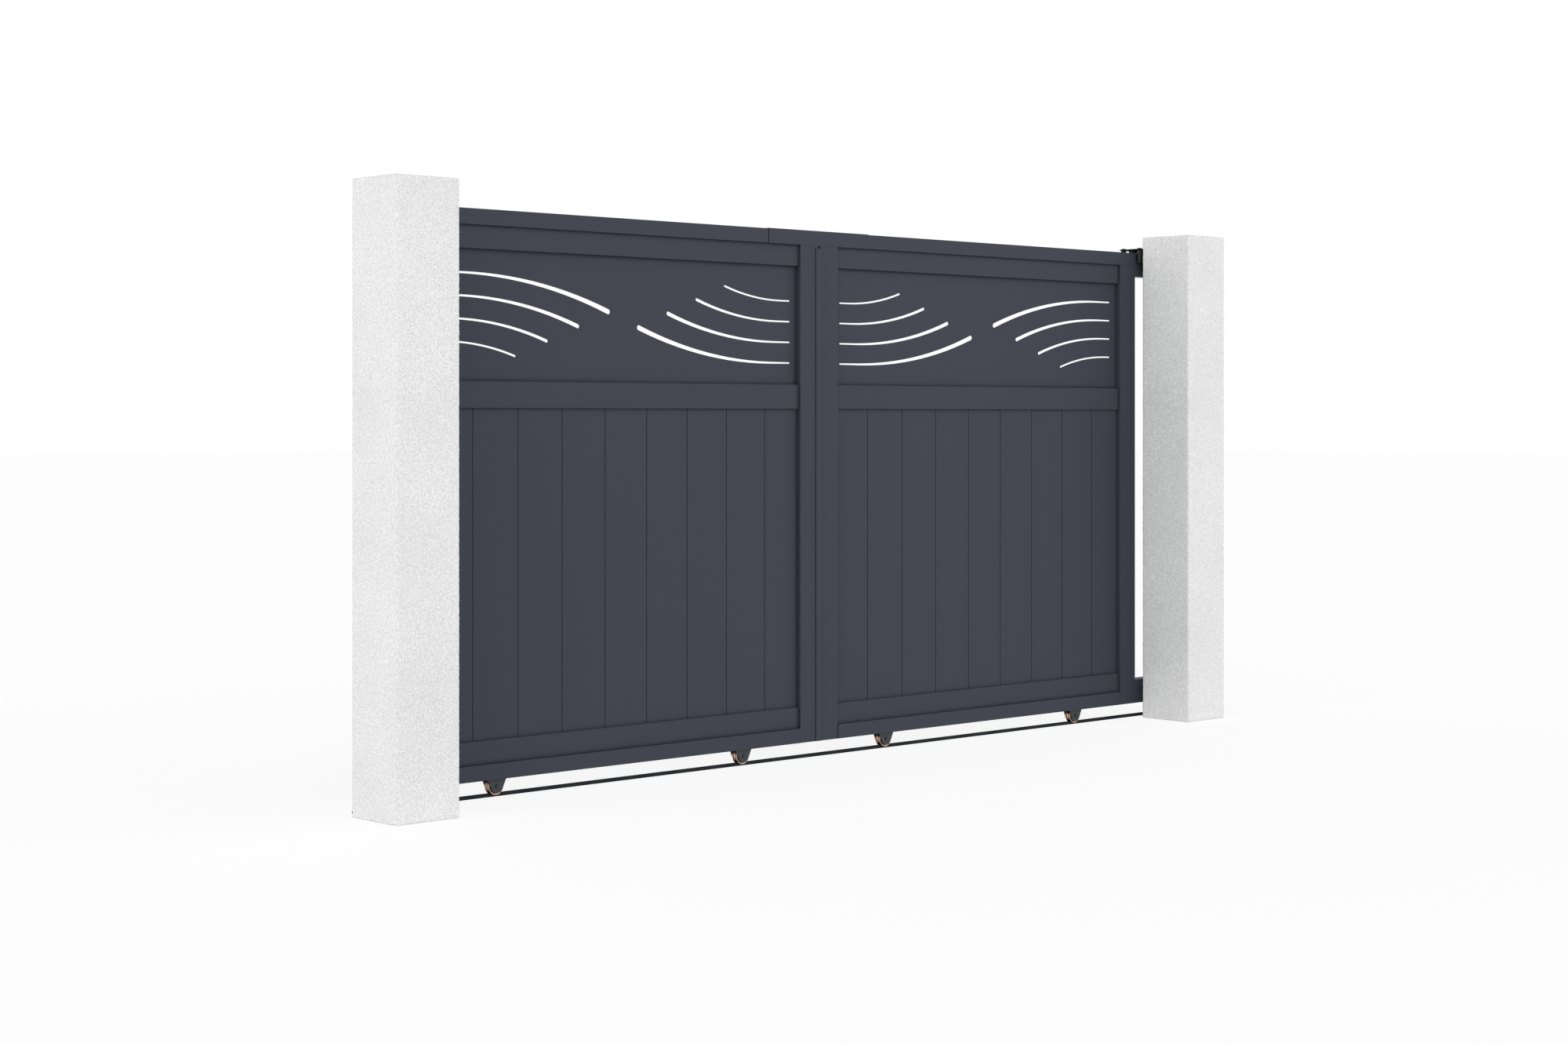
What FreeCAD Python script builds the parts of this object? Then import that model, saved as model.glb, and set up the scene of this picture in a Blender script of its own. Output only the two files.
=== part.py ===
import FreeCAD, Part
import math
import os

# Sliding driveway gate between two plain pillars: a framed aluminium leaf of two halves,
# boarded below and slotted above, that rolls along a low ground track on four grooved wheels.
# Millimetres. X runs along the gate, Y away from the street, Z up.
# The origin is the middle of the left pillar's foot.

Vector = FreeCAD.Vector

# Pillars and opening
pillar_width = 200.0
pillar_depth = 200.0
pillar_height = 1653.0
pillar_edge_round = 4.0
opening_width = 3051.0

# Leaf: overall
leaf_gap = 24.0
leaf_bottom = 49.0
leaf_height = 1551.0
leaf_thickness = 50.0
closing_lap = 5.5
opening_end_gap = 8.5
member_edge_break = 0.5

# Leaf: frame members
stile_width = 80.0
meeting_gap = 6.0
outer_rail_height = 43.5
bottom_rail_proud = 2.0
inner_rail_height = 64.0
mid_rail_height = 73.0
mid_rail_drop = 467.0
rail_recess = 8.0
board_recess = 15.0
sheet_recess = 19.0

# Boards and slotted sheet
board_count = 9
board_tuck = 20.0
board_tongue = 9.0
board_groove_width = 2.5
board_groove_depth = 1.5
sheet_thickness = 3.0
sheet_tuck = 10.0
rail_groove_depth = 10.0
seat_clearance = 0.5

# Tapered slots: four in a group, the second group turned half round about the sheet's middle
slot_count = 4
slot_inset = 25.0
slot_top_drop = 106.5
slot_pitch = 62.5
slot_first_length = 267.0
slot_length_step = 111.0
slot_first_rise = 36.5
slot_rise_step = 18.8
slot_thin_width = 4.2
slot_first_tip_width = 6.5
slot_tip_width_step = 2.8
slot_straight_share = 0.15

# Cover strip and splice sleeve where the two halves meet
strip_width = 27.0
strip_thickness = 3.0
strip_offset = -2.5
strip_top_gap = 8.5
sleeve_length = 425.0
sleeve_thickness = 1.5
sleeve_side = 0.6

# Tail that stays in the guide when the leaf is closed
tail_length = 400.0
tail_rail_height = 80.0
tail_post_width = 80.0

# Ground track and wheels
track_width = 14.0
track_height = 10.0
track_left_reach = 160.0
track_right_reach = 430.0
run_clearance = 0.3
wheel_inset = 304.0
wheel_radius = 24.5
wheel_width = 20.0
axle_height = 28.0
axle_radius = 4.0
axle_clearance = 0.05
axle_head_across = 11.0
axle_head_height = 2.5
axle_nut_across = 13.0
axle_nut_height = 5.0

# Wheel carriers
carrier_width = 62.0
carrier_inside = 24.0
carrier_plate = 3.0
carrier_nose_radius = 20.5
carrier_nose_rise = 2.0
wheel_pocket_clearance = 7.0

# Top guide on the right pillar
guide_lift = 11.0
guide_plate = 4.0
guide_length = 70.0
guide_overhang = 8.0
guide_back_reach = 22.0
guide_flange_drop = 75.0
guide_edge_round = 8.0
roller_radius = 9.0
roller_height = 40.0
roller_free_play = 0.9
roller_gap = 1.0
roller_bolt_radius = 4.0
roller_bolt_play = 0.1
roller_pitch = 47.0
bolt_head_across = 13.0
bolt_head_height = 3.0
anchor_head_across = 14.0
anchor_head_height = 4.0

# Closing catch on the left pillar
catch_bottom = 800.0
catch_height = 160.0
catch_plate = 6.0
catch_back = 40.0
catch_mouth = 16.0
catch_side_play = 10.0
pad_height = 60.0
pad_width = 40.0

# Places that follow from the sizes above
pillar_right_face = pillar_width / 2
pillar_back = pillar_depth / 2
right_pillar_left = pillar_right_face + opening_width
right_pillar_x = right_pillar_left + pillar_width / 2
leaf_left = pillar_right_face - closing_lap
leaf_right = right_pillar_left - opening_end_gap
half_length = (leaf_right - leaf_left) / 2
joint_x = leaf_left + half_length
leaf_front = pillar_back + leaf_gap
leaf_back = leaf_front + leaf_thickness
leaf_middle = leaf_front + leaf_thickness / 2
leaf_top = leaf_bottom + leaf_height
inner_width = half_length - 2 * stile_width
inner_middle = stile_width + inner_width / 2
top_rail_under = leaf_top - outer_rail_height
bottom_rail_top = leaf_bottom + outer_rail_height
sheet_top = top_rail_under - inner_rail_height
mid_top = leaf_top - mid_rail_drop
mid_under = mid_top - mid_rail_height
boards_bottom = bottom_rail_top + inner_rail_height
board_thickness = leaf_thickness - 2 * board_recess
board_field = inner_width + 2 * board_tuck
board_pitch = (board_field - board_tongue) / board_count
rolling_radius = axle_height - track_height - run_clearance
track_left = pillar_right_face - track_left_reach
track_right = right_pillar_left + track_right_reach
tail_right = leaf_right + tail_length
tail_post_left = tail_right - tail_post_width
board_seat = (board_recess, board_thickness)
sheet_seat = (sheet_recess, sheet_thickness)

PIECES = {}


def block(x0, x1, y0, y1, z0, z1):
    """A box between two corners."""
    return Part.makeBox(x1 - x0, y1 - y0, z1 - z0, Vector(x0, y0, z0))


def rod(radius, start, length, direction):
    """A plain cylinder."""
    return Part.makeCylinder(radius, length, start, direction)


def keep(name, shape):
    """Files one finished piece under its name."""
    shape = shape.removeSplitter()
    PIECES[name] = shape.Solids[0] if len(shape.Solids) == 1 else shape


def mirrored(shape):
    """The same piece on the other side of the meeting line."""
    return shape.mirror(Vector(joint_x, 0, 0), Vector(1, 0, 0))


def keep_pair(name, shape):
    """Files a piece of the right half and its mirror image in the left half."""
    keep(name + "_right", shape)
    keep(name + "_left", mirrored(shape))


def softened(body, along):
    """The same bar with its four long outer edges broken."""
    low = body.BoundBox
    limits = ((low.XMin, low.XMax), (low.YMin, low.YMax), (low.ZMin, low.ZMax))
    corners = []
    for edge in body.Edges:
        run = edge.Vertexes[-1].Point - edge.Vertexes[0].Point
        middle = edge.CenterOfMass
        if abs(run[along]) < run.Length - 1e-6:
            continue
        if all(min(abs(middle[k] - limit) for limit in limits[k]) < 1e-6 for k in range(3) if k != along):
            corners.append(edge)
    return body.makeChamfer(member_edge_break, corners)


def pillar(centre_x):
    """A plain pillar with slightly rounded upright edges."""
    half = pillar_width / 2
    body = block(centre_x - half, centre_x + half, -pillar_back, pillar_back, 0, pillar_height)
    uprights = [e for e in body.Edges if abs(e.CenterOfMass.z - pillar_height / 2) < 0.01]
    return body.makeFillet(pillar_edge_round, uprights)


def stile(x0, x1, groove_side):
    """An upright of the leaf, grooved on one side for the boards and the slotted sheet."""
    body = softened(block(x0, x1, leaf_front, leaf_back, leaf_bottom, top_rail_under), 2)
    mouth = x0 if groove_side < 0 else x1
    for tuck, (recess, thickness), z0, z1 in (
        (board_tuck, board_seat, boards_bottom - rail_groove_depth, mid_under + rail_groove_depth),
        (sheet_tuck, sheet_seat, mid_top - rail_groove_depth, sheet_top + rail_groove_depth),
    ):
        depth = tuck + seat_clearance
        x_low = mouth if groove_side < 0 else mouth - depth
        y = leaf_front + recess
        body = body.cut(block(x_low, x_low + depth, y, y + thickness, z0, z1))
    return body


def inner_rail(z0, z1, below=None, above=None):
    """A rail set back between two stiles, grooved for what it holds below and above."""
    x0 = joint_x + stile_width
    x1 = x0 + inner_width
    body = softened(block(x0, x1, leaf_front + rail_recess, leaf_back - rail_recess, z0, z1), 0)
    for seat, z in ((below, z0), (above, z1 - rail_groove_depth)):
        if seat:
            recess, thickness = seat
            y = leaf_front + recess
            body = body.cut(block(x0, x1, y, y + thickness, z, z + rail_groove_depth))
    return body


def board_panel(opening_left):
    """One half's boards as a field: a tongue on its left edge and a shadow groove at every joint."""
    x0 = opening_left - board_tuck
    y0 = leaf_front + board_recess
    y1 = y0 + board_thickness
    z0 = boards_bottom - rail_groove_depth
    z1 = mid_under + rail_groove_depth
    body = block(x0, x0 + board_field, y0, y1, z0, z1)
    shoulder = board_thickness / 3
    body = body.cut(block(x0, x0 + board_tongue, y0, y0 + shoulder, z0, z1))
    body = body.cut(block(x0, x0 + board_tongue, y1 - shoulder, y1, z0, z1))
    for k in range(1, board_count):
        left = x0 + board_tongue + k * board_pitch - board_groove_width / 2
        right = left + board_groove_width
        body = body.cut(block(left, right, y0, y0 + board_groove_depth, z0, z1))
        body = body.cut(block(left, right, y1 - board_groove_depth, y1, z0, z1))
    return body


def slot_tool(k):
    """One tapered slot: flat and thin by the stile, sweeping up to a wide rounded tip."""
    length = slot_first_length + k * slot_length_step
    rise = slot_first_rise + k * slot_rise_step
    tip_width = slot_first_tip_width + k * slot_tip_width_step
    start_x = joint_x + stile_width + slot_inset
    start_z = sheet_top - slot_top_drop - k * slot_pitch
    y = leaf_front + sheet_recess - sheet_thickness

    def edge_point(share, side):
        """A point on the upper (side 1) or lower (side -1) edge, or on the middle line (side 0)."""
        bend = max(0.0, share - slot_straight_share) / (1.0 - slot_straight_share)
        lean = math.atan(2.0 * rise * bend / (length * (1.0 - slot_straight_share)))
        half = side * (slot_thin_width + (tip_width - slot_thin_width) * share) / 2
        return Vector(start_x + length * share - half * math.sin(lean), y,
                      start_z + rise * bend * bend + half * math.cos(lean))

    halfway = (1.0 + slot_straight_share) / 2
    edges = []
    for side in (1, -1):
        thin, bow, middle, wide = (edge_point(share, side)
                                   for share in (0.0, slot_straight_share, halfway, 1.0))
        edges += [Part.makeLine(thin, bow), Part.Arc(bow, middle, wide).toShape()]
    upper, lower = edge_point(1.0, 1), edge_point(1.0, -1)
    across = upper - lower
    tip = edge_point(1.0, 0) + Vector(across.z, 0, -across.x) * 0.5
    edges.append(Part.Arc(upper, tip, lower).toShape())
    edges.append(Part.makeLine(edge_point(0.0, -1), edge_point(0.0, 1)))
    outline = Part.Wire(Part.__sortEdges__(edges))
    return Part.Face(outline).extrude(Vector(0, 3 * sheet_thickness, 0))


def slotted_sheet():
    """The upper sheet of one half, with two groups of tapered slots."""
    x0 = joint_x + stile_width - sheet_tuck
    x1 = joint_x + stile_width + inner_width + sheet_tuck
    y0 = leaf_front + sheet_recess
    z0 = mid_top - rail_groove_depth
    z1 = sheet_top + rail_groove_depth
    body = block(x0, x1, y0, y0 + sheet_thickness, z0, z1)
    centre = Vector(joint_x + inner_middle, y0, (mid_top + sheet_top) / 2)
    tools = []
    for k in range(slot_count):
        tool = slot_tool(k)
        turned = tool.copy()
        turned.rotate(centre, Vector(0, 1, 0), 180)
        tools += [tool, turned]
    return body.cut(tools)


def bottom_rail():
    """The outer bottom rail of one half, with a pocket above each wheel."""
    x0 = joint_x + stile_width
    body = block(x0, x0 + inner_width, leaf_front - bottom_rail_proud, leaf_back + bottom_rail_proud,
                 leaf_bottom, bottom_rail_top)
    body = softened(body, 0)
    reach = axle_height + wheel_radius + wheel_pocket_clearance
    for x in half_wheels():
        span = wheel_radius + wheel_pocket_clearance - (leaf_bottom - axle_height) / 2
        body = body.cut(block(x - span, x + span, leaf_middle - carrier_inside / 2,
                              leaf_middle + carrier_inside / 2, leaf_bottom, reach))
    return body


def half_wheels():
    """Where the two wheels of the right half stand along the gate."""
    return (joint_x + wheel_inset, joint_x + half_length - wheel_inset)


def wheel_places():
    """Where all four wheels stand, from left to right."""
    right = list(half_wheels())
    left = [2 * joint_x - x for x in reversed(right)]
    return left + right


def ground_track():
    """A low bar with a half-round running edge."""
    half = track_width / 2
    shoulder = track_height - half
    profile = Part.Wire([
        Part.makeLine(Vector(track_left, leaf_middle - half, 0), Vector(track_left, leaf_middle + half, 0)),
        Part.makeLine(Vector(track_left, leaf_middle + half, 0),
                      Vector(track_left, leaf_middle + half, shoulder)),
        Part.Arc(Vector(track_left, leaf_middle + half, shoulder),
                 Vector(track_left, leaf_middle, track_height),
                 Vector(track_left, leaf_middle - half, shoulder)).toShape(),
        Part.makeLine(Vector(track_left, leaf_middle - half, shoulder),
                      Vector(track_left, leaf_middle - half, 0)),
    ])
    return Part.Face(profile).extrude(Vector(track_right - track_left, 0, 0))


def wheel(x):
    """A turned wheel: two flanges beside a channel that straddles the track, bored for its axle."""
    channel_half = track_width / 2 + run_clearance
    half_outline = [
        (wheel_width / 2, axle_radius + axle_clearance),
        (wheel_width / 2, wheel_radius),
        (channel_half, wheel_radius),
        (channel_half, rolling_radius),
    ]
    outline = half_outline + [(-along, out) for along, out in reversed(half_outline)]
    points = [Vector(x, leaf_middle + along, axle_height + out) for along, out in outline]
    face = Part.Face(Part.makePolygon(points + points[:1]))
    return face.revolve(Vector(x, leaf_middle, axle_height), Vector(0, 1, 0), 360)


def carrier(x):
    """A folded bracket under the leaf: a windowed top plate and two cheeks with rounded noses."""
    half = carrier_width / 2
    outside = carrier_inside / 2 + carrier_plate
    top = block(x - half, x + half, leaf_middle - outside, leaf_middle + outside,
                leaf_bottom - carrier_plate, leaf_bottom)
    span = wheel_radius - (leaf_bottom - axle_height) / 2 + wheel_pocket_clearance
    top = top.cut(block(x - span, x + span, leaf_middle - carrier_inside / 2,
                        leaf_middle + carrier_inside / 2, leaf_bottom - carrier_plate, leaf_bottom))
    nose = axle_height + carrier_nose_rise
    drop = leaf_bottom - nose
    reach = math.hypot(half, drop)
    lean = math.acos(carrier_nose_radius / reach) - math.atan2(drop, half)
    nose_x = carrier_nose_radius * math.cos(lean)
    nose_z = carrier_nose_radius * math.sin(lean)
    cheeks = []
    for y in (leaf_middle - outside, leaf_middle + carrier_inside / 2):
        left_top = Vector(x - half, y, leaf_bottom)
        right_top = Vector(x + half, y, leaf_bottom)
        left_nose = Vector(x - nose_x, y, nose - nose_z)
        right_nose = Vector(x + nose_x, y, nose - nose_z)
        wire = Part.Wire([
            Part.makeLine(left_top, right_top),
            Part.makeLine(right_top, right_nose),
            Part.Arc(right_nose, Vector(x, y, nose - carrier_nose_radius), left_nose).toShape(),
            Part.makeLine(left_nose, left_top),
        ])
        cheek = Part.Face(wire).extrude(Vector(0, carrier_plate, 0))
        hole = rod(axle_radius + axle_clearance, Vector(x, y, axle_height), carrier_plate, Vector(0, 1, 0))
        cheeks.append(cheek.cut(hole))
    return top.fuse(cheeks)


def hexagon(place, across, height, axis):
    """A hexagonal nut or bolt head that stands on a face, along an axis of the frame."""
    aside = Vector(1, 0, 0) * (across / math.sqrt(3.0))
    upward = axis.cross(aside)
    turns = [math.radians(60 * n) for n in range(7)]
    points = [place + aside * math.cos(turn) + upward * math.sin(turn) for turn in turns]
    return Part.Face(Part.makePolygon(points)).extrude(axis * height)


def axle(x):
    """The wheel's bolt: low head in front, plain shank through both cheeks, nut behind."""
    outside = carrier_inside / 2 + carrier_plate
    front = Vector(x, leaf_middle - outside, axle_height)
    back = Vector(x, leaf_middle + outside, axle_height)
    shank = rod(axle_radius, front, 2 * outside, Vector(0, 1, 0))
    head = hexagon(front, axle_head_across, axle_head_height, Vector(0, -1, 0))
    nut = hexagon(back, axle_nut_across, axle_nut_height, Vector(0, 1, 0))
    return shank.fuse([head, nut])


def guide_bracket():
    """An angle on the right pillar's back whose top plate reaches over the leaf."""
    x0 = right_pillar_left - guide_overhang
    x1 = x0 + guide_length
    under = leaf_top + guide_lift
    top = block(x0, x1, pillar_back, leaf_back + guide_back_reach, under, under + guide_plate)
    far = [e for e in top.Edges if abs(e.CenterOfMass.y - leaf_back - guide_back_reach) < 0.01
           and abs(e.CenterOfMass.z - under - guide_plate / 2) < 0.01]
    top = top.makeFillet(guide_edge_round, far)
    flange = block(right_pillar_left, x1, pillar_back, pillar_back + guide_plate, flange_bottom(), under)
    body = top.fuse(flange)
    holes = [rod(roller_bolt_radius + roller_bolt_play, Vector(x, y, under), guide_plate, Vector(0, 0, 1))
             for y in roller_rows() for x in roller_columns()]
    return body.cut(holes)


def flange_bottom():
    """The guide's flange reaches its full bearing below its plate, or below the pillar's top if lower."""
    return min(leaf_top + guide_lift, pillar_height) - guide_flange_drop


def roller_columns():
    """Where the two rollers of a row hang along the leaf, evenly about the plate's middle."""
    middle = right_pillar_left - guide_overhang + guide_length / 2
    return (middle - roller_pitch / 2, middle + roller_pitch / 2)


def roller_rows():
    """How far back the rear and the front rollers hang, one row on each side of the leaf."""
    offset = roller_free_play + roller_radius
    return (leaf_back + offset, leaf_front - offset)


def guide_rollers(y):
    """A pair of plain nylon rollers beside the leaf's top rail."""
    low = leaf_top + guide_lift - roller_gap - roller_height
    pair = []
    for x in roller_columns():
        body = rod(roller_radius, Vector(x, y, low), roller_height, Vector(0, 0, 1))
        bore = rod(roller_bolt_radius + roller_bolt_play, Vector(x, y, low), roller_height, Vector(0, 0, 1))
        pair.append(body.cut(bore))
    return Part.makeCompound(pair)


def guide_bolts():
    """The rollers' bolts, with heads above the plate and nuts below the rollers."""
    top = leaf_top + guide_lift + guide_plate
    low = leaf_top + guide_lift - roller_gap - roller_height
    bolts = []
    for y in roller_rows():
        for x in roller_columns():
            shank = rod(roller_bolt_radius, Vector(x, y, low), top - low, Vector(0, 0, 1))
            head = hexagon(Vector(x, y, top), bolt_head_across, bolt_head_height, Vector(0, 0, 1))
            nut = hexagon(Vector(x, y, low), bolt_head_across, bolt_head_height, Vector(0, 0, -1))
            bolts.append(shank.fuse([head, nut]))
    return Part.makeCompound(bolts)


def guide_anchors():
    """Two bolt heads that hold the guide's flange to the pillar."""
    y = pillar_back + guide_plate
    z = flange_bottom() + anchor_head_across
    bearing = guide_length - guide_overhang
    heads = []
    for share in (0.25, 0.75):
        place = Vector(right_pillar_left + share * bearing, y, z)
        heads.append(hexagon(place, anchor_head_across, anchor_head_height, Vector(0, 1, 0)))
    return Part.makeCompound(heads)


def closing_catch():
    """A folded channel on the left pillar's back that takes the closing edge of the leaf."""
    x0 = leaf_left - catch_back
    x1 = leaf_left + catch_mouth
    z0 = catch_bottom
    z1 = catch_bottom + catch_height
    front = leaf_front - catch_side_play
    rear = leaf_back + catch_side_play
    near = block(x0, x1, pillar_back, front, z0, z1)
    web = block(x0, x0 + catch_plate, pillar_back, rear + catch_plate, z0, z1)
    far = block(x0, x1, rear, rear + catch_plate, z0, z1)
    return near.fuse([web, far])


def catch_pad():
    """The rubber buffer that the closed leaf rests against."""
    z = catch_bottom + catch_height / 2
    return block(leaf_left - catch_back + catch_plate, leaf_left - run_clearance,
                 leaf_middle - pad_width / 2, leaf_middle + pad_width / 2,
                 z - pad_height / 2, z + pad_height / 2)


def cover_strip():
    """A flat moulding over the joint of the two meeting stiles."""
    middle = joint_x + strip_offset
    body = block(middle - strip_width / 2, middle + strip_width / 2, leaf_front - strip_thickness,
                 leaf_front, leaf_bottom, top_rail_under - strip_top_gap)
    front = [e for e in body.Edges if abs(e.CenterOfMass.y - leaf_front + strip_thickness) < 1e-6]
    return body.makeChamfer(strip_thickness / 4, front)


def splice_sleeve():
    """A thin folded sleeve that ties the two top rails together."""
    x0 = joint_x - sleeve_length / 2
    x1 = joint_x + sleeve_length / 2
    outer = block(x0, x1, leaf_front - sleeve_side, leaf_back + sleeve_side,
                  top_rail_under, leaf_top + sleeve_thickness)
    return outer.cut(block(x0, x1, leaf_front, leaf_back, top_rail_under, leaf_top))


def build():
    """Makes every piece and files it."""
    keep("left_pillar", pillar(0.0))
    keep("right_pillar", pillar(right_pillar_x))
    keep("ground_track", ground_track())

    top_rail = block(joint_x, leaf_right, leaf_front, leaf_back, top_rail_under, leaf_top)
    keep_pair("top_rail", softened(top_rail, 0))
    keep_pair("bottom_rail", bottom_rail())
    keep_pair("meeting_stile", stile(joint_x + meeting_gap / 2, joint_x + stile_width, 1))
    keep_pair("outer_stile", stile(leaf_right - stile_width, leaf_right, -1))
    keep_pair("inner_top_rail", inner_rail(sheet_top, top_rail_under, below=sheet_seat))
    keep_pair("mid_rail", inner_rail(mid_under, mid_top, below=board_seat, above=sheet_seat))
    keep_pair("inner_bottom_rail", inner_rail(bottom_rail_top, boards_bottom, above=board_seat))
    keep("board_panel_left", board_panel(leaf_left + stile_width))
    keep("board_panel_right", board_panel(joint_x + stile_width))
    keep_pair("slotted_sheet", slotted_sheet())
    keep("cover_strip", cover_strip())
    keep("splice_sleeve", splice_sleeve())

    low_rail_top = leaf_bottom + tail_rail_height
    high_rail_under = leaf_top - tail_rail_height
    high_rail = block(leaf_right, tail_right, leaf_front, leaf_back, high_rail_under, leaf_top)
    low_rail = block(leaf_right, tail_right, leaf_front, leaf_back, leaf_bottom, low_rail_top)
    post = block(tail_post_left, tail_right, leaf_front, leaf_back, low_rail_top, high_rail_under)
    keep("tail_top_rail", softened(high_rail, 0))
    keep("tail_bottom_rail", softened(low_rail, 0))
    keep("tail_post", softened(post, 2))

    for n, x in enumerate(wheel_places(), start=1):
        keep(f"wheel_{n}", wheel(x))
        keep(f"carrier_{n}", carrier(x))
        keep(f"axle_{n}", axle(x))

    keep("guide_bracket", guide_bracket())
    for name, y in zip(("guide_roller_rear", "guide_roller_front"), roller_rows()):
        keep(name, guide_rollers(y))
    keep("guide_bolts", guide_bolts())
    keep("guide_anchors", guide_anchors())
    keep("closing_catch", closing_catch())
    keep("catch_pad", catch_pad())


build()
os.makedirs("parts", exist_ok=True)
for piece_name, piece in PIECES.items():
    piece.exportStep(f"parts/{piece_name}.step")
    print(piece_name, piece.ShapeType, len(piece.Solids), round(piece.Volume / 1e6, 3), piece.isValid())
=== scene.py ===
import logging
import math
from dataclasses import dataclass, field, replace
from enum import Enum
from typing import Any, Dict, List, Optional, Sequence, Tuple, Union

import bpy
import numpy as np
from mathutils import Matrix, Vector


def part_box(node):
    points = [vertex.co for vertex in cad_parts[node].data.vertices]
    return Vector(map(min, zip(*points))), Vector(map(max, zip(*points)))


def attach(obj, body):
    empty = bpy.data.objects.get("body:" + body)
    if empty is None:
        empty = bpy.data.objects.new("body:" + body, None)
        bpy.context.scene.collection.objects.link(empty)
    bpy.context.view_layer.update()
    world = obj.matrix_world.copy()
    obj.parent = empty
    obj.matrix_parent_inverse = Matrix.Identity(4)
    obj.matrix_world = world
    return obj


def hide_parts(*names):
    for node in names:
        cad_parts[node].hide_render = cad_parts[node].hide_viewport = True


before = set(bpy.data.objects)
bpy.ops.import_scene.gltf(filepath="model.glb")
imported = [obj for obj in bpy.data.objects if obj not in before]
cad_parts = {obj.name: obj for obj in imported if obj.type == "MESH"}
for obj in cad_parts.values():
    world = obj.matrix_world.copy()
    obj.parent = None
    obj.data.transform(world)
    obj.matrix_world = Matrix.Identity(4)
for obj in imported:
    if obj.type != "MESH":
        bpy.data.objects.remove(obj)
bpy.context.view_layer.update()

LOG = logging.getLogger("driveway_gate")
QUARTER_TURN = math.pi / 2
FIXED_BODY = "pillars_and_track"
Triple = Tuple[float, float, float]
Value = Union["Signal", float, int, Sequence[float]]
Tint = Union["Signal", Triple]
Owner = Union[bpy.types.Material, bpy.types.World]


class Slot(Enum):
    """The record's finishes, by the name of their slot."""

    LEAF = "leaf_paint"
    BOARD = "board_paint"
    CARRIER = "carrier_steel"
    BOLT = "bolt_steel"
    WHEEL = "wheel_bronze"
    PILLAR = "pillar_render"
    TRACK = "track_steel"
    GUIDE = "guide_black"
    ROLLER = "roller_nylon"
    PAD = "pad_rubber"


class Signal:
    """A shader socket that takes part in Python arithmetic: each operation adds one Math node."""

    def __init__(self, tree: "ShaderTree", socket: bpy.types.NodeSocket) -> None:
        """Keeps the tree that new nodes go into and the output socket itself."""
        self.tree = tree
        self.socket = socket

    def _math(self, operation: str, *values: Value) -> "Signal":
        """Adds a Math node with an operation, such as "ADD", on values or signals in its sockets' order."""
        return self.tree.node("ShaderNodeMath", {"operation": operation}, dict(enumerate(values)))

    def __add__(self, other: Value) -> "Signal":
        """Sum."""
        return self._math("ADD", self, other)

    def __radd__(self, other: Value) -> "Signal":
        """Sum with a number on the left."""
        return self._math("ADD", other, self)

    def __sub__(self, other: Value) -> "Signal":
        """Difference."""
        return self._math("SUBTRACT", self, other)

    def __rsub__(self, other: Value) -> "Signal":
        """Difference from a number on the left."""
        return self._math("SUBTRACT", other, self)

    def __mul__(self, other: Value) -> "Signal":
        """Product."""
        return self._math("MULTIPLY", self, other)

    def __rmul__(self, other: Value) -> "Signal":
        """Product with a number on the left."""
        return self._math("MULTIPLY", other, self)

    def within(self, centre: float, half: float) -> "Signal":
        """1 where the signal lies within a half width of a centre, else 0."""
        return self._math("COMPARE", self, centre, half)

    def centred(self) -> "Signal":
        """A signal from 0 to 1 moved down to lie about 0."""
        return self - 0.5


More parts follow.
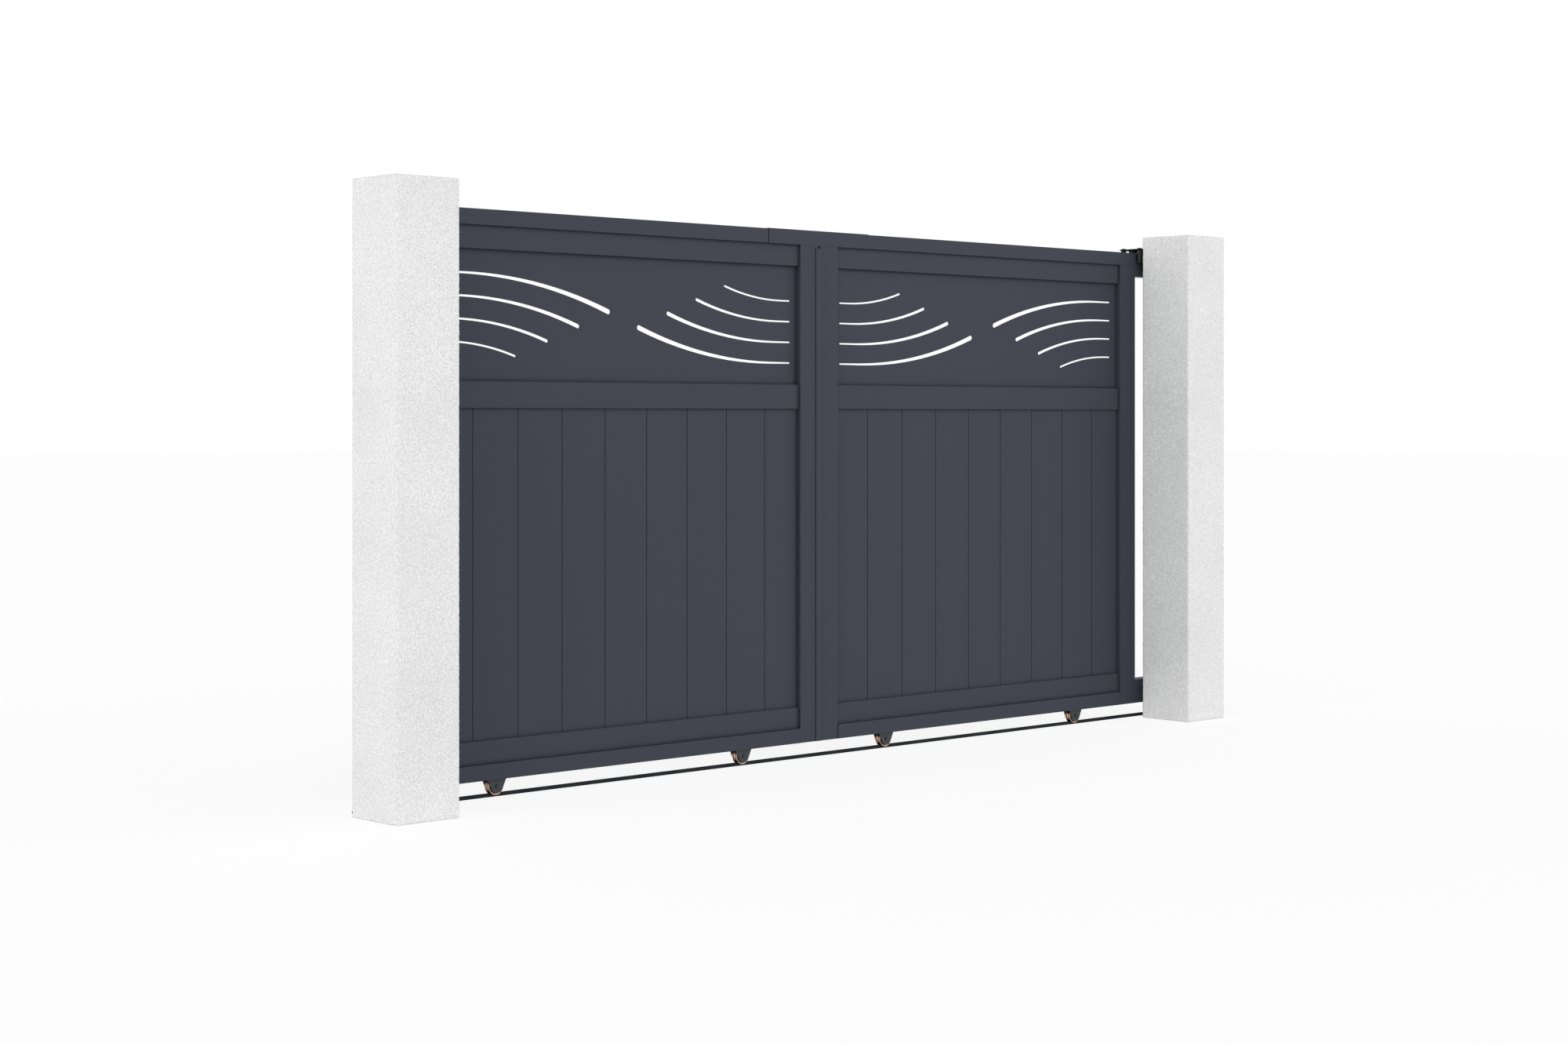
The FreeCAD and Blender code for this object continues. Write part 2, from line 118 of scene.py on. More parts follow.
class ShaderTree:
    """The node tree of one material or world, with one method that adds any node."""

    def __init__(self, owner: Owner) -> None:
        """Clears the tree of a material or world."""
        owner.use_nodes = True
        self.owner = owner
        self.tree = owner.node_tree
        self.tree.nodes.clear()

    @classmethod
    def named(cls, name: str) -> "ShaderTree":
        """The empty tree of a new material."""
        return cls(bpy.data.materials.new(name))

    def node(self, kind: str, settings: Optional[Dict[str, Any]] = None,
             inputs: Optional[Dict[Union[str, int], Value]] = None,
             output: Union[str, int] = 0) -> Signal:
        """Adds a node, sets it up and joins its sockets.

        Args:
            kind: the node's type, such as "ShaderNodeTexNoise".
            settings: its properties, which are set first.
            inputs: values or signals by socket name or number.
            output: which output to return.

        Returns:
            The chosen output as a signal.
        """
        made = self.tree.nodes.new(kind)
        for key, value in (settings or {}).items():
            setattr(made, key, value)
        for key, value in (inputs or {}).items():
            if isinstance(value, Signal):
                self.tree.links.new(value.socket, made.inputs[key])
            else:
                made.inputs[key].default_value = value
        return Signal(self, made.outputs[output])

    def place(self) -> Signal:
        """Object coordinates, in metres in the part's own frame."""
        return self.node("ShaderNodeTexCoord", output="Object")

    def stretched(self, scale: Triple) -> Signal:
        """Object coordinates scaled along each axis."""
        return self.node("ShaderNodeMapping", inputs={"Vector": self.place(), "Scale": scale})

    def noise(self, scale: float, detail: float = 2.0, roughness: float = 0.5,
              vector: Optional[Signal] = None) -> Signal:
        """Fractal noise from 0 to 1, with its scale in cells per metre."""
        return self.node("ShaderNodeTexNoise", inputs={
            "Vector": vector or self.place(), "Scale": scale, "Detail": detail, "Roughness": roughness})

    def grit(self, scale: float, smoothness: float) -> Signal:
        """Rounded grains: the distance to the nearest of many points, with its scale in grains per metre."""
        return self.node("ShaderNodeTexVoronoi", {"feature": "SMOOTH_F1"}, {
            "Vector": self.place(), "Scale": scale, "Smoothness": smoothness}, output="Distance")

    def blend(self, factor: Value, first: Tint, second: Tint) -> Signal:
        """A colour between two others, each a plain colour or a signal."""
        ends = [tint if isinstance(tint, Signal) else (*tint, 1.0) for tint in (first, second)]
        return self.node(
            "ShaderNodeMix", {"data_type": "RGBA"}, {0: factor, 6: ends[0], 7: ends[1]}, output=2)

    def openness(self, reach: float) -> Signal:
        """How open the surface is, from 0 deep in a corner to 1 where nothing stands within the reach."""
        return self.node("ShaderNodeAmbientOcclusion", {"samples": 12}, {"Distance": reach}, output="AO")

    def bump(self, height: Signal, strength: float, distance: float) -> Signal:
        """A normal tilted by a height signal, with the relief's depth in metres."""
        return self.node("ShaderNodeBump", inputs={
            "Height": height, "Strength": strength, "Distance": distance})

    def seen(self) -> Signal:
        """Tells rays that show a surface from rays that light the scene.

        Returns:
            1 for rays that bring a surface to the camera, straight, by gloss or through glass, else 0.
        """
        camera, glossy, clear = (self.node("ShaderNodeLightPath", output=name) for name in (
            "Is Camera Ray", "Is Glossy Ray", "Is Transmission Ray"))
        return camera + glossy + clear

    def mix(self, factor: Value, first: Signal, second: Signal) -> Signal:
        """A shader between two others."""
        return self.node("ShaderNodeMixShader", inputs={0: factor, 1: first, 2: second})

    def surface(self, inputs: Dict[str, Value]) -> Owner:
        """Gives the tree a Principled shader with these inputs and returns the material."""
        return self.finish(self.node("ShaderNodeBsdfPrincipled", inputs=inputs))

    def finish(self, shader: Signal) -> Owner:
        """Joins a shader to the tree's output.

        Args:
            shader: the shader to show.

        Returns:
            The material or world that owns the tree.
        """
        world = isinstance(self.owner, bpy.types.World)
        sink = self.tree.nodes.new("ShaderNodeOutputWorld" if world else "ShaderNodeOutputMaterial")
        self.tree.links.new(shader.socket, sink.inputs["Surface"])
        return self.owner


def painted_shade_colour(colour: Triple, share: float) -> Triple:
    """A colour brought down to a share of itself: the painted shade deep in a joint or corner."""
    return tuple(share * part for part in colour)


@dataclass(frozen=True)
class PowderCoat:
    """Satin powder coat: fine orange peel, faint cloudiness, and painted shade that darkens its joints and
    corners.
    """

    name: str
    dark: Triple
    light: Triple
    roughness: float = 0.5
    specular: float = 0.28
    cloud_cells: float = 2.3
    cloud_share: float = 0.65
    cloud_gloss: float = 0.12
    peel_cells: float = 900.0
    peel_share: float = 0.35
    peel_gloss: float = 0.08
    peel_strength: float = 0.35
    peel_depth: float = 0.00012
    # Painted shade: how far corners reach and how dark the colour is painted in them, and a painted shadow line
    # across x with its half width.
    shade_reach: float = 0.012
    shade_depth: float = 0.3
    shade_line: Optional[float] = None
    shade_line_half: float = 0.0018

    def unshaded_share(self, tree: ShaderTree) -> Signal:
        """How clear the surface is of painted shade.

        Args:
            tree: the tree that the nodes go into.

        Returns:
            0 deep in a corner or on the painted shadow line across x, and 1 in the open.
        """
        clear = tree.openness(self.shade_reach)
        if self.shade_line is None:
            return clear
        across = tree.node("ShaderNodeSeparateXYZ", inputs={"Vector": tree.place()}, output="X")
        return clear * (1.0 - across.within(self.shade_line, self.shade_line_half))

    def material(self) -> bpy.types.Material:
        """Builds the coat.

        Returns:
            Its material.
        """
        tree = ShaderTree.named(self.name)
        cloud = tree.noise(self.cloud_cells, detail=3.0)
        peel = tree.noise(self.peel_cells, roughness=0.6)
        face = tree.blend(self.cloud_share * cloud + self.peel_share * peel, self.dark, self.light)
        # Painted shade: the colour is darkened where ambient occlusion finds a corner or joint, and along the
        # shadow line.
        shade_colour = painted_shade_colour(self.dark, self.shade_depth)
        unevenness = self.cloud_gloss * cloud.centred() + self.peel_gloss * peel.centred()
        return tree.surface({
            "Base Color": tree.blend(self.unshaded_share(tree), shade_colour, face),
            "Roughness": self.roughness + unevenness,
            "Specular IOR Level": self.specular,
            "Normal": tree.bump(peel, self.peel_strength, self.peel_depth)})


@dataclass(frozen=True)
class RoughRender:
    """Pale masonry render: lumps, sand grains between them and faint trowelled clouds; the sand's speckle is
    partly its own colour and partly painted shade of its relief.
    """

    name: str
    pale: Triple
    shade: Triple
    lump_cells: float = 200.0
    lump_gloss: float = 0.1
    grit_cells: float = 320.0
    grit_smoothness: float = 0.35
    grit_level: float = 0.4
    grit_share: float = 0.3
    cloud_cells: float = 4.0
    cloud_contrast: float = 0.5
    sand_contrast: float = 2.8
    sand_strength: float = 0.8
    sand_depth: float = 0.003
    roughness: float = 0.86
    specular: float = 0.2

    def material(self) -> bpy.types.Material:
        """Builds the render.

        Returns:
            Its material.
        """
        tree = ShaderTree.named(self.name)
        lump = tree.noise(self.lump_cells, detail=4.0, roughness=0.6)
        grit = tree.grit(self.grit_cells, self.grit_smoothness)
        cloud = tree.noise(self.cloud_cells, detail=3.0)
        # The sand's tone is partly random colour and partly painted shade standing in for the tiny shadows of
        # the grains.
        sand = lump - self.grit_share * (grit - self.grit_level)
        tone = 0.5 + self.sand_contrast * sand.centred() + self.cloud_contrast * cloud.centred()
        return tree.surface({
            "Base Color": tree.blend(tone, self.shade, self.pale),
            "Roughness": self.roughness + self.lump_gloss * lump,
            "Specular IOR Level": self.specular,
            "Normal": tree.bump(sand, self.sand_strength, self.sand_depth)})


@dataclass(frozen=True)
class Metal:
    """Bare or plated metal with fine turning marks, uneven gloss and painted shade in its joints and corners.
    """

    name: str
    dull: Triple
    bright: Triple
    metallic: float = 1.0
    roughness: float = 0.38
    mark_cells: Triple = (60.0, 900.0, 60.0)
    mark_share: float = 0.5
    mark_gloss: float = 0.1
    mark_strength: float = 0.2
    mark_depth: float = 0.0002
    cloud_cells: float = 35.0
    cloud_share: float = 0.5
    cloud_gloss: float = 0.2
    # Painted shade: how far corners reach and how dark the colour is painted in them.
    shade_reach: float = 0.01
    shade_depth: float = 0.25

    def material(self) -> bpy.types.Material:
        """Builds the metal.

        Returns:
            Its material.
        """
        tree = ShaderTree.named(self.name)
        marks = tree.noise(1.0, vector=tree.stretched(self.mark_cells))
        cloud = tree.noise(self.cloud_cells, detail=3.0)
        face = tree.blend(self.mark_share * marks + self.cloud_share * cloud, self.dull, self.bright)
        # Painted shade: the colour is darkened where ambient occlusion finds a corner or groove.
        shade_colour = painted_shade_colour(self.dull, self.shade_depth)
        unevenness = self.cloud_gloss * cloud.centred() + self.mark_gloss * marks.centred()
        return tree.surface({
            "Base Color": tree.blend(tree.openness(self.shade_reach), shade_colour, face),
            "Metallic": self.metallic,
            "Roughness": self.roughness + unevenness,
            "Normal": tree.bump(marks, self.mark_strength, self.mark_depth)})


@dataclass(frozen=True)
class Moulded:
    """Nylon or rubber: matt, faintly mottled, with a fine moulded grain."""

    name: str
    dark: Triple
    light: Triple
    roughness: float = 0.7
    specular: float = 0.3
    grain_cells: float = 700.0
    grain_share: float = 0.5
    grain_gloss: float = 0.15
    grain_strength: float = 0.3
    grain_depth: float = 0.0002
    mottle_cells: float = 40.0
    mottle_share: float = 0.5

    def material(self) -> bpy.types.Material:
        """Builds the moulding's skin.

        Returns:
            Its material.
        """
        tree = ShaderTree.named(self.name)
        grain = tree.noise(self.grain_cells)
        mottle = tree.noise(self.mottle_cells)
        tone = self.grain_share * grain + self.mottle_share * mottle
        return tree.surface({
            "Base Color": tree.blend(tone, self.dark, self.light),
            "Roughness": self.roughness + self.grain_gloss * grain.centred(),
            "Specular IOR Level": self.specular,
            "Normal": tree.bump(grain, self.grain_strength, self.grain_depth)})


ANTHRACITE_DARK: Triple = (0.0437, 0.0481, 0.0642)
ANTHRACITE_LIGHT: Triple = (0.0505, 0.0556, 0.0729)
# The reach and depth settings of each coat and metal set its painted shade in corners and joints.
FINISHES: Dict[Slot, Union[PowderCoat, RoughRender, Metal, Moulded]] = {
    Slot.LEAF: PowderCoat(
        "leaf_paint", ANTHRACITE_DARK, ANTHRACITE_LIGHT, roughness=0.55, specular=0.07),
    Slot.BOARD: PowderCoat(
        "board_paint", ANTHRACITE_DARK, ANTHRACITE_LIGHT, roughness=0.55, specular=0.07, shade_depth=0.45),
    Slot.CARRIER: PowderCoat(
        "carrier_steel", (0.029, 0.035, 0.039), (0.034, 0.041, 0.045), shade_depth=0.8),
    Slot.BOLT: Metal(
        "bolt_steel", (0.033, 0.034, 0.04), (0.065, 0.068, 0.078), roughness=0.55),
    Slot.WHEEL: Metal(
        "wheel_bronze", (0.36, 0.215, 0.155), (0.54, 0.37, 0.29), roughness=0.34),
    Slot.PILLAR: RoughRender(
        "pillar_render", (0.93, 0.93, 0.93), (0.66, 0.66, 0.66)),
    Slot.TRACK: PowderCoat(
        "track_steel", (0.018, 0.021, 0.024), (0.025, 0.029, 0.032), roughness=0.75, specular=0.06),
    Slot.GUIDE: PowderCoat(
        "guide_black", (0.004, 0.004, 0.005), (0.008, 0.008, 0.009), roughness=0.7, specular=0.08),
    Slot.ROLLER: Moulded(
        "roller_nylon", (0.008, 0.008, 0.009), (0.013, 0.013, 0.015), roughness=0.6),
    Slot.PAD: Moulded(
        "pad_rubber", (0.012, 0.012, 0.012), (0.02, 0.02, 0.02), roughness=0.85),
}


def tube_faces(rows: int, columns: int) -> np.ndarray:
    """Quads of a tube of rings: each joins two neighbours in a ring to the two above them.

    Args:
        rows: rings of points.
        columns: points in a ring.

    Returns:
        An array of four point numbers a face, wound so that rings rising along a path that turns
        anticlockwise face outwards.
    """
    row = np.arange(rows - 1)[:, None]
    column = np.arange(columns)[None, :]
    following = (column + 1) % columns
    a = row * columns + column
    b = row * columns + following
    return np.stack([a, b, b + columns, a + columns], axis=-1).reshape(-1, 4)


def capped_faces(rows: int, columns: int) -> List[List[int]]:
    """Faces of a tube of rings that is closed by its first and last rings.

    Args:
        rows: rings of points, rising.
        columns: points in a ring, anticlockwise.

    Returns:
        Point numbers of each face, the two caps last.
    """
    ring = np.arange(columns)
    caps = [ring[::-1].tolist(), (ring + (rows - 1) * columns).tolist()]
    return tube_faces(rows, columns).tolist() + caps


def add_mesh(name: str, points: np.ndarray, faces: List[List[int]], smooth: bool = True) -> bpy.types.Object:
    """Puts a worked-out surface into the scene.

    Args:
        name: the piece's name.
        points: x, y, z in metres along the last axis, for each point.
        faces: point numbers of each face.
        smooth: whether the faces are shaded smooth.

    Returns:
        The new object, which sits at the origin.
    """
    mesh = bpy.data.meshes.new(name)
    mesh.from_pydata(points.reshape(-1, 3).tolist(), [], faces)
    mesh.polygons.foreach_set("use_smooth", np.full(len(mesh.polygons), smooth))
    mesh.update()
    piece = bpy.data.objects.new(name, mesh)
    bpy.context.scene.collection.objects.link(piece)
    return piece


def rounded_ring(half_x: float, half_y: float, edge: float, count: int) -> np.ndarray:
    """A rounded rectangle about the origin, walked anticlockwise at an even pace.

    A point is the centre of a corner's arc plus the corner radius at an angle. Along a straight run the
    centre moves and the angle stays; round a corner the centre stays and the angle turns by a quarter.

    Args:
        half_x: half its width.
        half_y: half its depth.
        edge: the corner radius.
        count: points in the ring.

    Returns:
        count rows of x, y.
    """
    centre_x, centre_y = half_x - edge, half_y - edge
    arc = edge * QUARTER_TURN
    lengths = np.tile([2 * centre_y, arc, 2 * centre_x, arc], 2)
    stops = np.concatenate([[0.0], np.cumsum(lengths)])
    walk = np.arange(count) / count * stops[-1]
    angle = np.interp(walk, stops, np.array([0, 0, 1, 1, 2, 2, 3, 3, 4]) * QUARTER_TURN)
    x = np.interp(walk, stops, centre_x * np.array([1, 1, 1, -1, -1, -1, -1, 1, 1]))
    y = np.interp(walk, stops, centre_y * np.array([-1, 1, 1, 1, 1, -1, -1, -1, -1]))
    return np.stack([x + edge * np.cos(angle), y + edge * np.sin(angle)], axis=1)


class Dresser:
    """Gives finishes to nodes and pieces, each finish made once."""

    def __init__(self) -> None:
        """Starts with no materials made."""
        self.made: Dict[Slot, bpy.types.Material] = {}

    def finish(self, slot: Slot) -> bpy.types.Material:
        """The material of a slot, made on first use.

        Args:
            slot: the finish's slot.

        Returns:
            Its material.
        """
        if slot not in self.made:
            self.made[slot] = FINISHES[slot].material()
        return self.made[slot]

    def node(self, name: str, slot: Slot, variant: Optional[bpy.types.Material] = None) -> None:
        """Paints a CAD node.

        Args:
            name: the node.
            slot: its finish.
            variant: a material to use instead of the slot's plain one.
        """
        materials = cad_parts[name].data.materials
        materials.clear()
        materials.append(variant or self.finish(slot))
        LOG.info("dressed %s in %s", name, slot.value)

    def piece(self, piece: bpy.types.Object, slot: Slot, body: str, *nodes: str) -> None:
        """Paints a new piece, seats it on its body and lets it stand for CAD nodes.

        Args:
            piece: the new object.
            slot: its finish.
            body: the body it moves with.
            nodes: the CAD nodes that it replaces.
        """
        piece.data.materials.append(self.finish(slot))
        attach(piece, body)
        if nodes:
            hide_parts(*nodes)
        LOG.info("built %s on %s", piece.name, body)


@dataclass
class Pillars:
    """The two rendered pillars, with real sandy relief on every face."""

    names: Tuple[str, str] = ("left_pillar", "right_pillar")
    edge: float = 0.004
    edge_steps: int = 4
    pitch: float = 0.005
    relief: float = 0.0012
    wavelength: float = 0.014
    band_width: float = 0.45
    relief_spread: float = 5.0
    seed: int = 11

    def grain(self, rng: np.random.Generator, rows: int, columns: int) -> np.ndarray:
        """Sandy relief: white noise, kept only where its wavelength lies near the grain's.

        Args:
            rng: seeded source of numbers.
            rows: points up the pillar.
            columns: points round it, where the pattern closes on itself.

        Returns:
            rows by columns of depth, from 0 to 1.
        """
        waves = np.hypot(np.fft.fftfreq(rows, self.pitch)[:, None], np.fft.rfftfreq(columns, self.pitch))
        band = np.exp(-((waves * self.wavelength - 1.0) / self.band_width) ** 2)
        noise = np.fft.rfft2(rng.standard_normal((rows, columns)))
        sand = np.fft.irfft2(noise * band, s=(rows, columns))
        return np.clip(0.5 + sand / (self.relief_spread * sand.std()), 0.0, 1.0)

    def build(self, name: str, rng: np.random.Generator) -> bpy.types.Object:
        """One pillar: rounded rings up the shaft, over the top edge and in across the top.

        A ring is the outline drawn in towards the middle by a pull, which is the relief on the shaft, one
        less the cosine of a quarter turn over the edge, and an even step across the top. On the top the
        relief sinks the points instead, so that the surface never leaves the solid.

        Args:
            name: the CAD node that it stands for.
            rng: seeded source of numbers.

        Returns:
            The new piece.
        """
        low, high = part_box(name)
        middle, half = (low + high) / 2, (high - low) / 2
        count = int(round(4 * (half.x + half.y) / self.pitch))
        shaft = np.linspace(0.0, high.z - self.edge, int(high.z / self.pitch))
        turn = np.linspace(0.0, QUARTER_TURN, self.edge_steps)[1:]
        steps = np.arange(self.edge + self.pitch, min(half.x, half.y) - 2 * self.pitch, self.pitch)
        rise = np.concatenate([shaft, high.z - self.edge * (1 - np.sin(turn)), np.full(len(steps), high.z)])
        pull = np.concatenate([np.zeros(len(shaft)), self.edge * (1 - np.cos(turn)), steps])
        depth = self.relief * self.grain(rng, len(rise), count)
        on_top = (np.arange(len(rise)) >= len(shaft) + len(turn))[:, None]
        inward = pull[:, None] + np.where(on_top, 0.0, depth)
        outline = rounded_ring(half.x, half.y, self.edge, count)
        points = np.stack([
            middle.x + outline[:, 0] * (1 - inward / half.x),
            middle.y + outline[:, 1] * (1 - inward / half.y),
            rise[:, None] - np.where(on_top, depth, 0.0)], axis=-1)
        return add_mesh(name + "_render", points, capped_faces(len(rise), count))

    def dress(self, dresser: Dresser) -> None:
        """Builds both pillars in their finish.

        Args:
            dresser: gives the finish and seats the pieces.
        """
        rng = np.random.default_rng(self.seed)
        for name in self.names:
            dresser.piece(self.build(name, rng), Slot.PILLAR, FIXED_BODY, name)


@dataclass
class Leaf:
    """The framed leaf: outer frame, set-back rails, boards, slotted sheets and tail."""

    halves: Tuple[str, str] = ("left", "right")
    paired: Tuple[str, ...] = ("bottom_rail", "meeting_stile", "outer_stile", "inner_top_rail", "mid_rail",
                               "inner_bottom_rail", "slotted_sheet")
    single: Tuple[str, ...] = ("top_rail_right", "cover_strip", "tail_top_rail", "tail_bottom_rail",
                               "tail_post")

    def dress(self, dresser: Dresser) -> None:
        """Paints every member, with a painted shadow line where the splice sleeve ends on the left top rail.

        Args:
            dresser: gives the finishes.
        """
        for half in self.halves:
            for member in self.paired:
                dresser.node(f"{member}_{half}", Slot.LEAF)
            dresser.node(f"board_panel_{half}", Slot.BOARD)
        for member in self.single:
            dresser.node(member, Slot.LEAF)
        sleeve = "splice_sleeve"
        # A painted shadow line across the sleeve's left end, where its end face lies in shade.
        shade_lined = replace(FINISHES[Slot.LEAF], name="leaf_paint_jointed", shade_line=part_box(sleeve)[0].x).material()
        for member in (sleeve, "top_rail_left"):
            dresser.node(member, Slot.LEAF, shade_lined)


@dataclass
class RunningGear:
    """Four grooved wheels in their carriers, on plain axle bolts."""

    count: int = 4
    segments: int = 96
    play: float = 0.0003
    rim_round: float = 0.0007
    rim_steps: int = 4
    groove_steps: int = 9
    hub_radius: float = 0.009
    bore: float = 0.00405
    dish: float = 0.002

    def profile(self, half_width: float, radius: float, rolling: float, groove_half: float) -> np.ndarray:
        """The wheel's closed outline as (distance along the axle, distance from it).

        From the hub's face out over the dished web and the flange, round the groove that hugs the track,
        and back by the mirror image.

        Args:
            half_width: half the wheel's width over its flanges.
            radius: over the flanges.
            rolling: radius at the bottom of the groove.
            groove_half: half the groove's width, and the radius of its round.

        Returns:
            One row for each point.
        """
        dish_rim = (radius + rolling) / 2 - self.dish
        lip = radius - self.rim_round
        turn = np.linspace(0.0, QUARTER_TURN, self.rim_steps)
        outer_lip = np.stack([-half_width + self.rim_round * (1 - np.sin(turn[::-1])),
                              lip + self.rim_round * np.cos(turn[::-1])], axis=1)
        inner_lip = np.stack([-groove_half - self.rim_round * (1 - np.sin(turn)),
                              lip + self.rim_round * np.cos(turn)], axis=1)
        sweep = np.linspace(0.0, QUARTER_TURN, self.groove_steps)
        groove = np.stack([-groove_half * np.cos(sweep),
                           rolling + (lip - rolling) * (1 - np.sin(sweep))], axis=1)
        half = np.concatenate([
            [[-half_width, self.bore],
             [-half_width, self.hub_radius - self.rim_round],
             [-half_width + self.rim_round, self.hub_radius],
             [-half_width + self.dish, self.hub_radius],
             [-half_width + self.dish, dish_rim - self.dish],
             [-half_width, dish_rim]],
            outer_lip, inner_lip, groove])
        return np.concatenate([half, half[-2::-1] * np.array([-1.0, 1.0])])

    def wheel(self, name: str) -> bpy.types.Object:
        """One wheel: its outline turned about the axle, with a groove that fits over the track.

        A point stands out from the axle by its distance times the sine and cosine of the turn. The last
        ring is joined to the first, which makes the bore.

        Args:
            name: the CAD node that it stands for.

        Returns:
            The new piece.
        """
        low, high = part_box(name)
        track_low, track_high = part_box("ground_track")
        middle, half = (low + high) / 2, (high - low) / 2
        outline = self.profile(half.y, half.z, middle.z - track_high.z - self.play,
                               (track_high.y - track_low.y) / 2 + self.play)
        angle = np.arange(self.segments) / self.segments * 4 * QUARTER_TURN
        along, out = outline[:, :1], outline[:, 1:]
        points = np.stack([middle.x + out * np.sin(angle), middle.y + along + 0 * angle,
                           middle.z + out * np.cos(angle)], axis=-1)
        closed = tube_faces(len(outline) + 1, self.segments) % (len(outline) * self.segments)
        return add_mesh(name + "_turned", points, closed[:, ::-1].tolist())

    def dress(self, dresser: Dresser) -> None:
        """Builds the wheels and paints carriers and axles.

        Args:
            dresser: gives the finishes and seats the pieces.
        """
        for number in range(1, self.count + 1):
            name = f"wheel_{number}"
            dresser.piece(self.wheel(name), Slot.WHEEL, name, name)
            dresser.node(f"carrier_{number}", Slot.CARRIER)
            dresser.node(f"axle_{number}", Slot.BOLT)


@dataclass
class FixedFittings:
    """Track, top guide and closing catch."""

    nodes: Dict[str, Slot] = field(default_factory=lambda: {
        "ground_track": Slot.TRACK, "guide_bracket": Slot.GUIDE, "guide_roller_rear": Slot.ROLLER,
        "guide_roller_front": Slot.ROLLER, "guide_bolts": Slot.BOLT, "guide_anchors": Slot.BOLT,
        "closing_catch": Slot.GUIDE, "catch_pad": Slot.PAD})

    def dress(self, dresser: Dresser) -> None:
        """Paints each fitting."""
        for name, slot in self.nodes.items():
            dresser.node(name, slot)


@dataclass
class LiftStop:
    """A nylon block under the guide's plate, just above the leaf, that keeps the leaf on its track."""

    name: str = "guide_lift_stop"
    length: float = 0.030
    width: float = 0.020
    inset: float = 0.007
    plate: float = 0.004
    unshaded_share: float = 0.0025
    edge: float = 0.002
    edge_steps: int = 6
    corner: float = 0.003
    count: int = 96

    def build(self) -> bpy.types.Object:
        """The block: one rounded rectangle, rising from a rounded lower edge to the plate.

        A ring is the outline drawn in by the edge radius times one less the sine of a quarter turn, at a
        height of the radius times one less its cosine; the last ring is full width, at the plate.

        Returns:
            The new piece.
        """
        bracket_low, bracket_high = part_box("guide_bracket")
        rail_low, rail_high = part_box("tail_top_rail")
        bottom, top = rail_high.z + self.unshaded_share, bracket_high.z - self.plate
        turn = np.linspace(0.0, QUARTER_TURN, self.edge_steps)
        rise = np.append(bottom + self.edge * (1 - np.cos(turn)), top)
        pull = np.append(self.edge * (1 - np.sin(turn)), 0.0)[:, None]
        half_x, half_y = self.length / 2, self.width / 2
        outline = rounded_ring(half_x, half_y, self.corner, self.count)
        points = np.stack([
            bracket_low.x + self.inset + half_x + outline[:, 0] * (1 - pull / half_x),
            (rail_low.y + rail_high.y) / 2 + outline[:, 1] * (1 - pull / half_y),
            rise[:, None] + np.zeros(self.count)], axis=-1)
        return add_mesh(self.name, points, capped_faces(len(rise), self.count))

    def dress(self, dresser: Dresser) -> None:
        """Builds the block in the rollers' nylon."""
        dresser.piece(self.build(), Slot.ROLLER, FIXED_BODY)


@dataclass(frozen=True)
class Lamp:
    """A broad soft lamp: its strength, and the side that it shines from as a turn about the vertical."""

    name: str
    energy: float
    turn: float


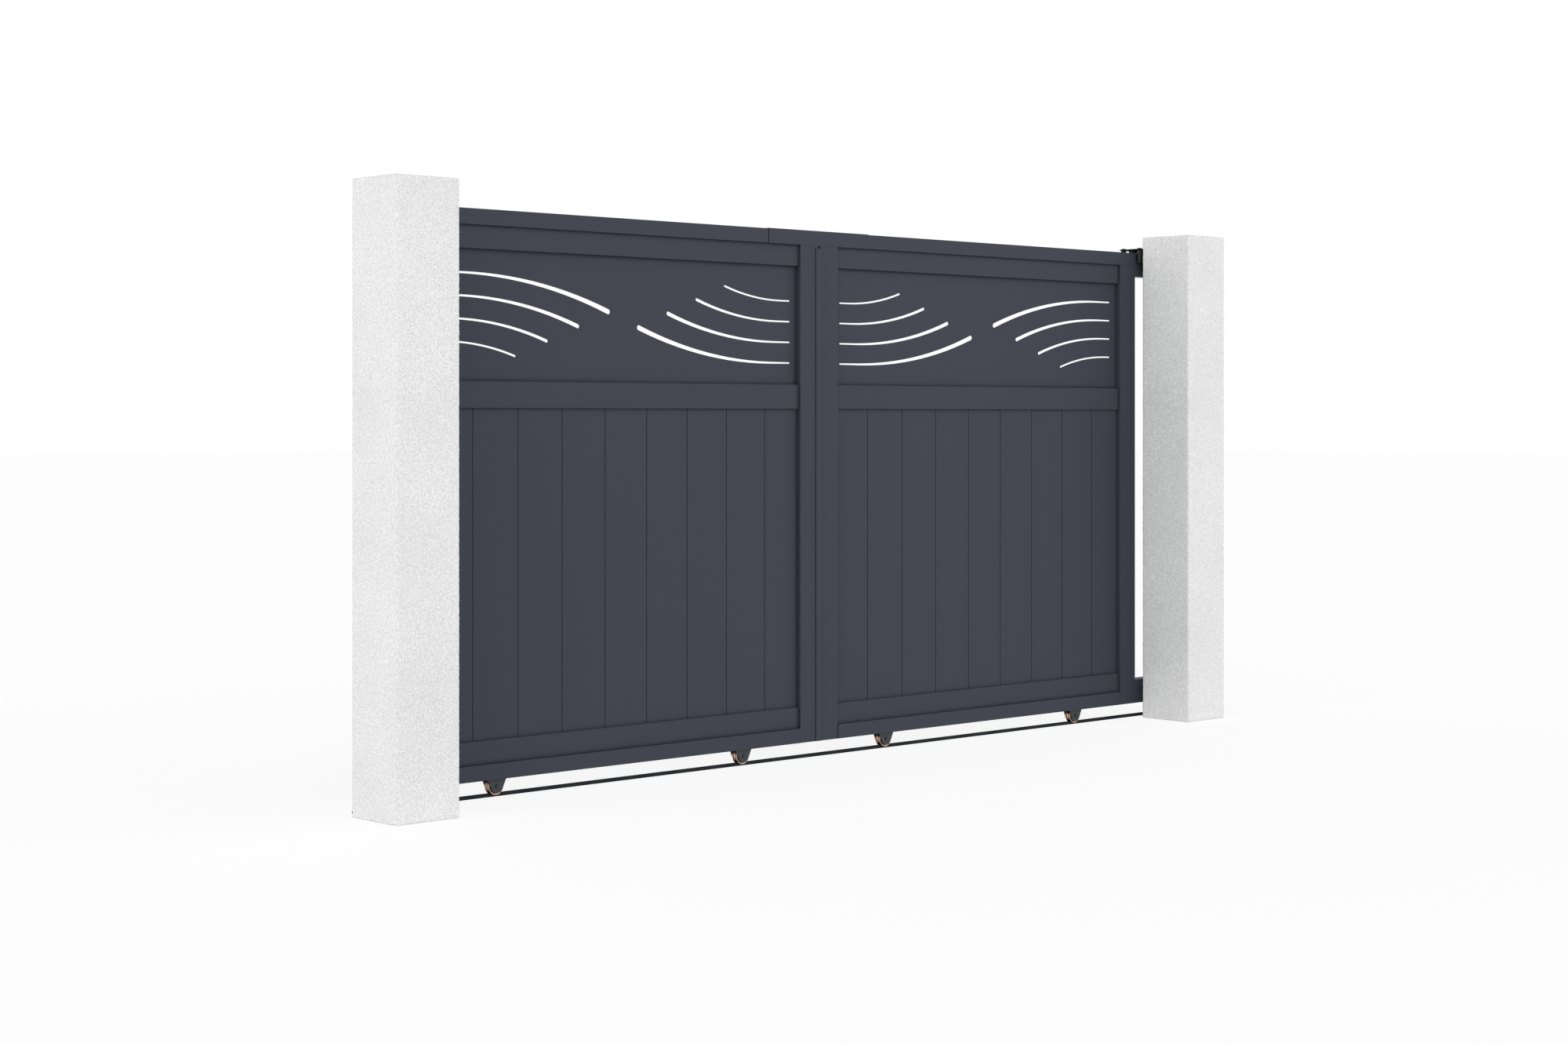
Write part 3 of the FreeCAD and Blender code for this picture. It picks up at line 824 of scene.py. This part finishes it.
@dataclass
class Studio:
    """Pale floor, even soft light and the camera, with angles in degrees."""

    image: Tuple[int, int] = (2000, 1330)
    camera_place: Triple = (-3.9536, -5.566, 1.0381)
    heading: float = 43.624
    focal_pixels: float = 3332.74
    horizon_row: float = 530.61
    sensor: float = 36.0
    sight: float = 200.0
    floor_half: float = 60.0
    floor_drop: float = 0.0005
    floor_pale: float = 1.0
    floor_bounce: float = 0.9
    floor_fill: float = 0.4
    floor_glow: float = 0.85
    sky: float = 0.4
    lamps: Tuple[Lamp, ...] = (
        Lamp("studio_left", 2.45, -70.0), Lamp("studio_right", 2.02, 50.0), Lamp("studio_back", 0.9, 180.0))
    lamp_tilt: float = 80.0
    lamp_spread: float = 90.0

    def floor(self) -> None:
        """A wide pale floor: near white where it is seen, with a faint shadow, and plain to the light."""
        span = np.array([-self.floor_half, self.floor_half])
        x, y = np.meshgrid(span, span)
        points = np.stack([x, y, np.full_like(x, -self.floor_drop)], axis=-1)
        piece = add_mesh("studio_floor", points, [[0, 1, 3, 2]], smooth=False)
        tree = ShaderTree.named("studio_floor")
        matt, pale = (tree.node("ShaderNodeBsdfDiffuse", inputs={"Color": (tone, tone, tone, 1.0)})
                      for tone in (self.floor_bounce, self.floor_pale))
        glow = tree.node("ShaderNodeEmission", inputs={"Strength": 1.0})
        plain = tree.mix(self.floor_fill, matt, glow)
        shown = tree.mix(self.floor_glow, pale, glow)
        piece.data.materials.append(tree.finish(tree.mix(tree.seen(), plain, shown)))

    def light(self) -> None:
        """A sky that is white to look at and lights from all round, and three broad soft lamps."""
        tree = ShaderTree(bpy.data.worlds.new("studio_sky"))
        dim, white = (tree.node("ShaderNodeBackground", inputs={
            "Color": (1.0, 1.0, 1.0, 1.0), "Strength": strength}) for strength in (self.sky, 1.0))
        bpy.context.scene.world = tree.finish(tree.mix(tree.seen(), dim, white))
        for lamp in self.lamps:
            sun = bpy.data.lights.new(lamp.name, "SUN")
            sun.energy = lamp.energy
            sun.angle = math.radians(self.lamp_spread)
            stand = bpy.data.objects.new(lamp.name, sun)
            stand.rotation_euler = (math.radians(self.lamp_tilt), 0.0, math.radians(lamp.turn))
            bpy.context.scene.collection.objects.link(stand)

    def camera(self) -> None:
        """A level camera, framed by a small vertical shift."""
        lens = bpy.data.cameras.new("studio_camera")
        lens.sensor_fit = "HORIZONTAL"
        lens.sensor_width = self.sensor
        lens.lens = self.focal_pixels * self.sensor / self.image[0]
        lens.shift_y = (self.horizon_row - self.image[1] / 2) / self.image[0]
        lens.clip_end = self.sight
        camera = bpy.data.objects.new("studio_camera", lens)
        camera.location = self.camera_place
        camera.rotation_euler = (QUARTER_TURN, 0.0, -math.radians(self.heading))
        bpy.context.scene.collection.objects.link(camera)
        bpy.context.scene.camera = camera

    def build(self) -> None:
        """Sets the whole studio up."""
        self.floor()
        self.light()
        self.camera()
        bpy.context.scene.view_settings.view_transform = "Standard"
        LOG.info("set up the studio")


def main() -> None:
    """Builds the studio and dresses the gate."""
    logging.basicConfig(level=logging.INFO, format="%(message)s")
    Studio().build()
    dresser = Dresser()
    for assembly in (Pillars(), Leaf(), RunningGear(), FixedFittings(), LiftStop()):
        assembly.dress(dresser)


if __name__ == "__main__":
    main()
